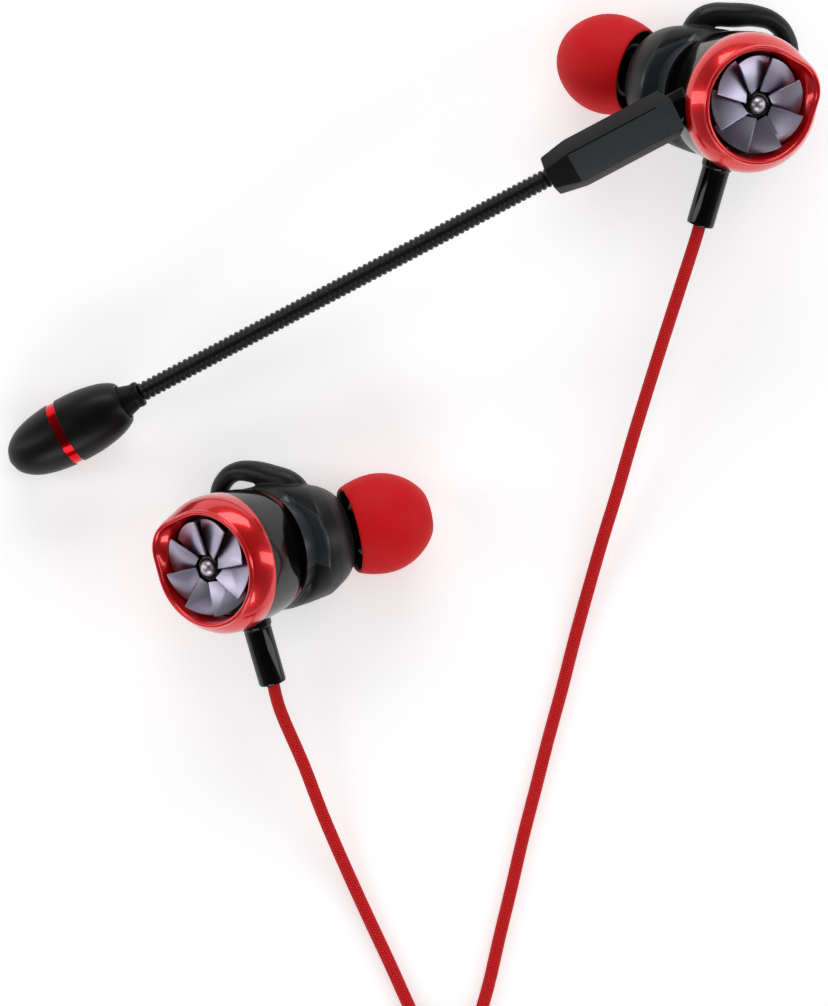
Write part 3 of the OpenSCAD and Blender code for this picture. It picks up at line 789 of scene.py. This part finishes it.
def fin_loop(turn, spread):
    """The looped fin: a round bow that thickens where it grows out of the sleeve."""
    curve = bpy.data.curves.new("fin", "CURVE")
    curve.dimensions = "3D"
    spline = curve.splines.new("BEZIER")
    spline.bezier_points.add(len(FIN_LINE) - 1)
    for point, place, radius in zip(spline.bezier_points, FIN_LINE, FIN_RADII):
        point.co = (place[0] * spread, place[1] * spread, place[2])
        point.radius = radius
        point.handle_left_type = point.handle_right_type = "AUTO"
    curve.bevel_depth = 1.0
    curve.bevel_resolution = 5
    curve.use_fill_caps = True
    loop = mesh_of(curve, "fin")
    loop.data.transform(Matrix.Rotation(math.radians(turn), 4, "Z"))
    return loop


def sleeve_with_fin(name, turn, spread):
    sleeve = joined([*sleeve_blank(), fin_loop(turn, spread)], name)
    work_on(sleeve)
    sleeve.data.remesh_voxel_size = SLEEVE_VOXEL
    bpy.ops.object.voxel_remesh()
    use_modifier(sleeve, "SMOOTH", factor=0.5, iterations=SLEEVE_SOFTENING)
    # The cup and the sound tube fit inside with a little room.
    inside = drawn_body("inside", [(part_frame((0, 0, z), (0, 180, 0)), r) for z, r in MOUTH_RINGS]
                        + [(tube_ring(along, share), r) for share, along, r in BORE_RINGS], 64)
    use_modifier(sleeve, "BOOLEAN", operation="DIFFERENCE", object=inside, solver="EXACT")
    bpy.data.objects.remove(inside)
    # Between the ridge and the shell, the tube's side of the sleeve is a smoother strip, whose
    # faces take a lighter colour as painted sheen.
    ridge = lean_ring(*RIDGE[:3]).inverted()
    first, last = STRIP_REACH
    for face in sleeve.data.polygons:
        x, y, _ = face.center
        behind_ridge = (ridge @ face.center).z < -STRIP_BELOW
        outside = math.hypot(x, y) > STRIP_INSIDE
        if behind_ridge and outside and first < math.degrees(math.atan2(y, x)) < last:
            face.material_index = 1
    smooth_faces(sleeve, 40)
    return sleeve


# Liquid silicone rubber, black: satin from its blasted mould, soft at grazing light.
silicone_black = fine_finish("black_silicone_rubber", "#050607", (0.34, 0.5), {
    "IOR": 1.43, "Sheen Weight": 0.03, "Sheen Roughness": 0.5}, scale=9000,
    stands_out=(0.12, 0.00005))

# The same rubber on the strip, a little smoother, with a lighter colour that paints in the sheen
# that face catches.
silicone_painted_sheen = fine_finish("black_silicone_painted_sheen", "#34393C", (0.28, 0.36))
for side, turn, spread, body in (("left", -3, 1.0, "left_fin_sleeve"),
                                 ("right", 8, 1.12, "right_fin_sleeve")):
    on_earphones(sleeve_with_fin("sleeve_fin", turn, spread), "sleeve_fin",
                 [silicone_black, silicone_painted_sheen],
                 bodies=(body,), sides=(side,), replaced=["ear_fin"])


# ----------------------------------------
# Ear tip: a thin dome of red liquid silicone on a thicker black core. The dome folds back
# over the core as an open skirt, and its rim is rounded and a little thicker.
# ----------------------------------------
TIP_START = 14.1
TIP_LEVELS = [
    (0.90, 2.65), (0.90, 3.40), (1.10, 3.52), (5.00, 3.55), (5.90, 3.80), (6.20, 4.30),
    (5.80, 4.75), (4.70, 5.05), (2.60, 5.12), (0.50, 5.05), (0.14, 5.10), (0.00, 5.25),
    (0.03, 5.42), (0.30, 5.58), (1.10, 5.88), (2.20, 6.16), (3.30, 6.32), (4.30, 6.34),
    (5.30, 6.22), (6.40, 5.92), (7.40, 5.46), (8.40, 4.82), (9.20, 4.10), (9.80, 3.40),
    (10.15, 2.85), (10.29, 2.50), (10.25, 2.25), (10.05, 2.06), (9.70, 2.00), (5.70, 2.00),
    (5.40, 2.15), (5.25, 2.45), (5.20, 2.65),
]
# Below this height and between these radii the tip is black. The core really is black, and the red
# skirt's underside is painted black as shade.
BLACK_CORE_AND_SHADE_TOP = 6.25
BLACK_CORE_AND_SHADE_RADII = (2.3, 5.2)  # the core and the inside of the skirt

tip = turned_piece("tip", TIP_LEVELS, 72, close_wall, rounded=True, angle=None)
# The black core and the painted shade under the skirt take the second material.
for face in tip.data.polygons:
    from_axis = math.hypot(face.center.x, face.center.y)
    if face.center.z < BLACK_CORE_AND_SHADE_TOP and BLACK_CORE_AND_SHADE_RADII[0] < from_axis < BLACK_CORE_AND_SHADE_RADII[1]:
        face.material_index = 1
tip.data.transform(TUBE_FRAME @ Matrix.Translation((0, 0, TIP_START)))


# Liquid silicone rubber, red: matt, a little translucent, so that its shading stays soft.
def red_rubber():
    material, tree = new_material("red_silicone_rubber")
    grain = noise(tree, 9000, 3)
    return finish_material(material, add(tree, "ShaderNodeBsdfPrincipled", {
        "Base Color": tones(tree, grain, (0, "#D80710"), (1, "#E40D17")), "Roughness": 0.6,
        "IOR": 1.43, "Specular IOR Level": 0.3, "Sheen Weight": 0.03, "Sheen Roughness": 0.45,
        "Sheen Tint": colour("#FF4048"), "Subsurface Weight": 0.15,
        "Subsurface Radius": (1.0, 0.25, 0.15), "Subsurface Scale": 0.0008,
        "Normal": relief(tree, grain, 0.1, 0.00005)}))


on_earphones(tip, "tip_dome", [red_rubber(), silicone_black],
             bodies=("left_tip", "right_tip"), replaced=["ear_tip"])


# ----------------------------------------
# Inside the earphones: the dark red ring between drum and sleeve, the cup with its
# sound tube, the mesh in the tube's mouth, the driver and its membrane.
# ----------------------------------------
# Aluminium, anodised dark red.
anodised_dark_red = fine_finish("anodised_dark_red", "#6E0710", (0.17, 0.33), {"Metallic": 0.9})
# Polyester film, pressed thin.
membrane_film = fine_finish("polyester_membrane", "#C9C7BE", (0.27, 0.43))
# Zinc-plated steel, lightly passivated.
zinc_steel = fine_finish("zinc_plated_steel", "#A9A9A6", (0.27, 0.43), {"Metallic": 1.0})
# Stainless steel wire cloth.
mesh_steel = fine_finish("woven_steel_mesh", "#77777A", (0.32, 0.48), {"Metallic": 1.0})
for side in ("left", "right"):
    dress_node(f"{side}_accent_ring", anodised_dark_red)
    dress_node(f"{side}_cup", gloss_black)
    dress_node(f"{side}_tube_mesh", mesh_steel)
    dress_node(f"{side}_driver", zinc_steel)
    dress_node(f"{side}_diaphragm", membrane_film)


# ----------------------------------------
# Boom plug: a gold-plated pin in a contact barrel in the right shell.
# ----------------------------------------
# Hard gold over nickel on brass.
gold_plate = fine_finish("gold_plate", "#E2B65A", (0.13, 0.23), {"Metallic": 1.0})
dress_node("boom_pin", gold_plate)
dress_node("mic_socket", zinc_steel)


# ----------------------------------------
# Grip: two halves of matt black ABS with long flat faces. A groove runs beside the
# top face, and the nose tapers to the neck with a smooth facet on top.
# ----------------------------------------
BOOM_FRAME = TO_METRES @ part_frame((32.3, 29.2, 19.95), (0, 100.3, 207.8))
GRIP_ROLL = Matrix.Rotation(math.radians(-9.6), 4, "Z")
GRIP_EDGE = 0.12
GRIP_SECTIONS = [  # place along it, half breadth, half top face, rise of the top, fall below
    (-3.00, 3.3, 2.0, 3.0, 3.0), (13.70, 3.3, 2.0, 3.0, 3.0),
    (17.15, 2.70, 1.35, 1.75, 2.3), (17.40, 2.55, 1.25, 1.60, 2.1),
]
ROOT_SECTIONS = [(-2.80, 2.2, 1.2, 1.2, 2.3), (5.00, 2.2, 1.2, 1.2, 2.3)]
GROOVE_PLACE = (-3.0, -1.9, 7.3)
GROOVE_SIZE = (0.36, 0.16, 12.8)
SEAT_GAP = 0.15  # between the grip's flat back end and its seat in the shell


def place_on_boom(piece, shown, materials, body, replaced=()):
    """Moves a piece made in millimetres along the boom's own axis to its place."""
    piece.name = shown
    piece.data.transform(BOOM_FRAME)
    for material in materials:
        piece.data.materials.append(material)
    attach(piece, body)
    if replaced:
        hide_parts(*replaced)


def grip_prism(name, sections):
    """A six-sided length of the grip, drawn through these sections."""
    piece = raise_ring(name, [(s, 3) for s, *_ in sections], 6)
    for vertex in piece.data.vertices:
        _, b, f, up, down = min(sections, key=lambda g: abs(g[0] - vertex.co.z))
        corners = [(down, f), (0, b), (-up, f), (-up, -f), (0, -b), (down, -f)]
        angle = math.degrees(math.atan2(vertex.co.y, vertex.co.x)) % 360
        vertex.co.x, vertex.co.y = corners[int(angle // 60)]
    close_ends(piece)
    # The second material on the level top face is painted light: the same plastic in a lighter
    # colour, not an inlay.
    for face in piece.data.polygons:  # the level top faces -X here and takes the inlay
        face.material_index = 1 if face.normal.x < -0.999 else 0
    piece.data.transform(GRIP_ROLL)
    return piece


def soften_grip(piece):
    use_modifier(piece, "BEVEL", width=GRIP_EDGE, segments=3, limit_method="ANGLE",
                 angle_limit=math.radians(12))


# The grip's back end lies flat over the seat in the shell.
socket = BOOM_FRAME.inverted() @ BUD_FRAMES["right"] @ part_frame((8.93, -3.7, -5.8), (0, 90, -38))
out_of_shell = socket.to_3x3() @ Vector((0, 0, 1))
grip = grip_prism("grip", GRIP_SECTIONS)
cut_flat(grip, socket @ Vector((0, 0, SEAT_GAP)), out_of_shell)
soften_grip(grip)
clear_selection()
bpy.ops.mesh.primitive_cube_add(size=1, location=GROOVE_PLACE)
groove = bpy.context.object
bpy.ops.transform.resize(value=GROOVE_SIZE, center_override=GROOVE_PLACE)
bpy.ops.object.transform_apply(location=True, rotation=True, scale=True)
groove.data.transform(GRIP_ROLL)
use_modifier(grip, "BOOLEAN", operation="DIFFERENCE", object=groove, solver="EXACT")
bpy.data.objects.remove(groove)
smooth_faces(grip, 25)

# A narrower root runs on from under it into the shell.
root = grip_prism("root", ROOT_SECTIONS)
cut_flat(root, socket.translation, -out_of_shell)
soften_grip(root)
smooth_faces(root, 25)


# Matt black ABS: spark-eroded mould texture, about 0.1 mm from crest to crest.
matt_black = fine_finish("textured_black_abs", "#040506", (0.42, 0.56), {
    "IOR": 1.54, "Specular IOR Level": 0.18}, scale=7000, detail=2, stands_out=(0.2, 0.00005))

# The face on top: the same plastic, with a lighter colour painted in for the light that face
# catches.
top_face_painted_light = fine_finish("grip_top_face_painted_light", "#2A2E30", (0.42, 0.58))
place_on_boom(grip, "grip_body", [matt_black, top_face_painted_light], "boom_grip",
              replaced=["grip_upper", "grip_lower"])
place_on_boom(root, "boom_seat", [gloss_black, gloss_black], "set")


# ----------------------------------------
# Neck: a flexible conduit of black flat wire, wound so that each turn shows as a
# rounded ridge. It is cut into the lengths that the joints tie together.
# ----------------------------------------
NECK_START = 17.4
NECK_LENGTH = 59.2
NECK_PITCH = 0.74
NECK_CUTS = (39.6, 54.4)
NECK_PROFILE = [
    (0.0, 0.98), (0.10, 1.08), (0.22, 1.2), (0.37, 1.245), (0.52, 1.2), (0.64, 1.08),
    (0.74, 0.98),
]


def wound_neck():
    """The whole neck: one turn's profile, swept round and along the axis."""
    clear_selection()
    bpy.ops.mesh.primitive_plane_add(size=0.1, location=(0, 0, 0))
    neck = bpy.context.object
    bpy.ops.object.mode_set(mode="EDIT")
    bpy.ops.mesh.select_all(action="SELECT")
    bpy.ops.mesh.merge(type="CENTER")
    start, radius = NECK_PROFILE[0]
    bpy.ops.transform.translate(value=(radius, 0, NECK_START - NECK_PITCH + start))
    for (s0, r0), (s1, r1) in zip(NECK_PROFILE, NECK_PROFILE[1:]):
        bpy.ops.mesh.extrude_region_move(TRANSFORM_OT_translate={"value": (r1 - r0, 0, s1 - s0)})
    bpy.ops.object.mode_set(mode="OBJECT")
    turns = math.ceil(NECK_LENGTH / NECK_PITCH) + 1
    use_modifier(neck, "SCREW", axis="Z", screw_offset=NECK_PITCH, iterations=turns, steps=18,
                 render_steps=18, use_merge_vertices=True, merge_threshold=0.002)
    return neck


def cut_between(piece, low, high):
    work_on(piece, edit=True)
    for place, way in ((low, 1), (high, -1)):
        bpy.ops.mesh.select_all(action="SELECT")
        bpy.ops.mesh.bisect(plane_co=(0, 0, place), plane_no=(0, 0, way), clear_inner=True)
    bpy.ops.mesh.select_all(action="SELECT")
    bpy.ops.mesh.remove_doubles(threshold=0.001)
    face_outwards()


# Black-lacquered spring steel: satin, with a thin clear coat.
black_wire = fine_finish("black_lacquered_wire", "#050506", (0.26, 0.4), {
    "IOR": 1.5, "Specular IOR Level": 0.25, "Coat Weight": 0.15, "Coat Roughness": 0.2})
whole = wound_neck()
spans = [
    (NECK_START, NECK_CUTS[0], ["neck_1", "neck_2"]),
    (NECK_CUTS[0], NECK_CUTS[1], ["neck_3"]),
    (NECK_CUTS[1], NECK_START + NECK_LENGTH, ["neck_4"]),
]
for i, (low, high, replaced) in enumerate(spans):
    length = copied(whole, f"neck_length_{i + 1}")
    cut_between(length, low, high)
    smooth_faces(length)
    length.data.transform(BOOM_FRAME)
    length.data.materials.append(black_wire)
    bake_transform(length)
    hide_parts(*replaced)
bpy.data.objects.remove(whole)


# ----------------------------------------
# Capsule: an egg-shaped housing of soft-touch black plastic in two halves with a
# recessed ring of red anodised aluminium between them, on a stepped collar.
# ----------------------------------------
NECK_END = NECK_START + NECK_LENGTH
CAPSULE_START = 78.7
CAPSULE_LENGTH = 16.3
CAPSULE_END = CAPSULE_START + CAPSULE_LENGTH
CAPSULE_RADIUS = 4.2
CAPSULE_SIDES = 80
RING_FROM, RING_TO = 86.52, 87.67
RING_RECESS = 0.16
HALF_EDGE = 0.08  # how far the halves are turned in where they meet the ring
HALF_BORE = 2.6
CAPSULE_OUTLINE = [  # shares of the length and of the radius
    (0, 0.62), (0.04, 0.72), (0.12, 0.85), (0.24, 0.95), (0.36, 1), (0.52, 1),
    (0.64, 0.96), (0.76, 0.87), (0.86, 0.73), (0.94, 0.52), (0.98, 0.32), (1, 0.1),
]


def capsule_radius_at(place):
    """Radius of the egg at a place along the boom, on a soft curve through its outline."""
    t = (place - CAPSULE_START) / CAPSULE_LENGTH
    last = len(CAPSULE_OUTLINE) - 2
    i = next((k for k in range(last) if t <= CAPSULE_OUTLINE[k + 1][0]), last)
    (t0, r0), (t1, r1) = CAPSULE_OUTLINE[i:i + 2]
    slopes = [r1 - r0, r1 - r0]
    if 0 < i < last:
        slopes = [(after[1] - before[1]) / (after[0] - before[0]) * (t1 - t0)
                  for before, after in ((CAPSULE_OUTLINE[k - 1], CAPSULE_OUTLINE[k + 1])
                                        for k in (i, i + 1))]
    u = (t - t0) / (t1 - t0)
    share = (2 * u ** 3 - 3 * u ** 2 + 1) * r0 + (u ** 3 - 2 * u ** 2 + u) * slopes[0]
    share += (-2 * u ** 3 + 3 * u ** 2) * r1 + (u ** 3 - u ** 2) * slopes[1]
    return CAPSULE_RADIUS * share


def outline_between(start, end, steps):
    places = [start + (end - start) * k / steps for k in range(steps + 1)]
    return [(place, capsule_radius_at(place)) for place in places]


# Soft-touch plastic: a velvety matt lacquer on black ABS.
velvet_black = fine_finish("soft_touch_black", "#040506", (0.34, 0.44), {
    "IOR": 1.5, "Specular IOR Level": 0.22, "Sheen Weight": 0.02, "Sheen Roughness": 0.6},
    scale=11000, detail=2)

REAR_LEVELS = [
    (RING_FROM, HALF_BORE), (RING_FROM, capsule_radius_at(RING_FROM) - HALF_EDGE),
    *reversed(outline_between(CAPSULE_START + 0.12, RING_FROM - 0.06, 14)),
    (CAPSULE_START, 2.45), (CAPSULE_START + 0.08, 2.2), (CAPSULE_START + 0.5, 2.1),
]
NOSE_LEVELS = [
    (RING_TO, HALF_BORE), (RING_TO, capsule_radius_at(RING_TO) - HALF_EDGE),
    *outline_between(RING_TO + 0.06, CAPSULE_END - 0.02, 22), (CAPSULE_END, 0.06),
]
for shown, levels, node in (("capsule_rear_half", REAR_LEVELS, "capsule_rear"),
                            ("capsule_nose_half", NOSE_LEVELS, "capsule_nose")):
    half = turned_piece("half", levels, CAPSULE_SIDES, close_ends)
    place_on_boom(half, shown, [velvet_black], "boom_capsule", replaced=[node])

# Aluminium, anodised bright red.
anodised_red = fine_finish("anodised_red", "#E0141C", (0.12, 0.2), {"Metallic": 1.0})

band_radius = capsule_radius_at(RING_FROM) - RING_RECESS
BAND_LEVELS = [
    (RING_FROM - 0.1, 2.8), (RING_FROM - 0.1, band_radius), (RING_FROM + 0.5, band_radius + 0.02),
    (RING_TO + 0.1, band_radius), (RING_TO + 0.1, 2.8),
]
band = turned_piece("band", BAND_LEVELS, CAPSULE_SIDES, close_wall)
place_on_boom(band, "capsule_band", [anodised_red], "boom_capsule",
              replaced=["capsule_ring"])

COLLAR_LEVELS = [
    (NECK_END - 0.35, 1.0), (NECK_END - 0.35, 1.5), (NECK_END - 0.22, 1.62),
    (NECK_END + 0.1, 1.66), (NECK_END + 0.35, 1.62), (NECK_END + 0.45, 1.58),
    (NECK_END + 0.6, 1.6), (CAPSULE_START - 0.2, 2.0), (CAPSULE_START + 0.4, 2.02),
    (CAPSULE_START + 0.4, 1.0),
]
collar = turned_piece("collar", COLLAR_LEVELS, 48, close_wall)
place_on_boom(collar, "capsule_collar_ring", [matt_black], "boom_capsule",
              replaced=["capsule_collar"])
dress_node("mic_element", zinc_steel)


# ----------------------------------------
# Splitter, strap and jack plug: moulded black plastic on the cord, a strap round the
# coil and a gold-plated 3.5 mm plug with its black rings.
# ----------------------------------------
# Thermoplastic elastomer, overmoulded on the cord.
moulded_tpe = fine_finish("moulded_tpe_black", "#141416", (0.37, 0.53))
# Woven nylon tape.
woven_strap = fine_finish("woven_strap_black", "#101012", (0.72, 0.88), scale=2500)
# PBT, the plug's insulating rings.
ring_pbt = fine_finish("insulating_rings_black", "#0C0C0D", (0.27, 0.43))
for name in ("splitter_upper", "splitter_lower", "plug_grip", "plug_relief"):
    dress_node(name, moulded_tpe)
PLUG_CONTACTS = ["plug_sleeve", "plug_ring_1", "plug_ring_2", "plug_tip"]
for name in PLUG_CONTACTS:
    dress_node(name, gold_plate)
dress_node("plug_insulators", ring_pbt)

# The strap goes once round the turns on the coil's left side.
STRAP_MIDDLE = (COIL_CENTRE[0] - 11, COIL_CENTRE[1], 4.3)
STRAP_REACH = (4.65, 4.0)  # half its width across the turns and half its height
STRAP_WIDTH = 3
STRAP_THICKNESS = 0.4
clear_selection()
bpy.ops.mesh.primitive_circle_add(vertices=96, radius=1, fill_type="NOTHING")
strap = bpy.context.object
strap.name = "cord_strap"
for vertex in strap.data.vertices:  # the root draws the circle out to a rounded square
    across, up = (reach * math.copysign(abs(c) ** 0.5, c)
                  for reach, c in zip(STRAP_REACH, vertex.co.xy))
    vertex.co = Vector(STRAP_MIDDLE) + Vector((across, -STRAP_WIDTH / 2, up))
work_on(strap, edit=True)
bpy.ops.mesh.extrude_region_move(TRANSFORM_OT_translate={"value": (0, STRAP_WIDTH, 0)})
face_outwards()
use_modifier(strap, "SOLIDIFY", thickness=STRAP_THICKNESS, offset=0)
use_modifier(strap, "BEVEL", width=0.1, segments=2, limit_method="ANGLE")
smooth_faces(strap, 40)
strap.data.transform(TO_METRES)
strap.data.materials.append(woven_strap)
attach(strap, "set")
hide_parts("coil_tie")

clear_selection()
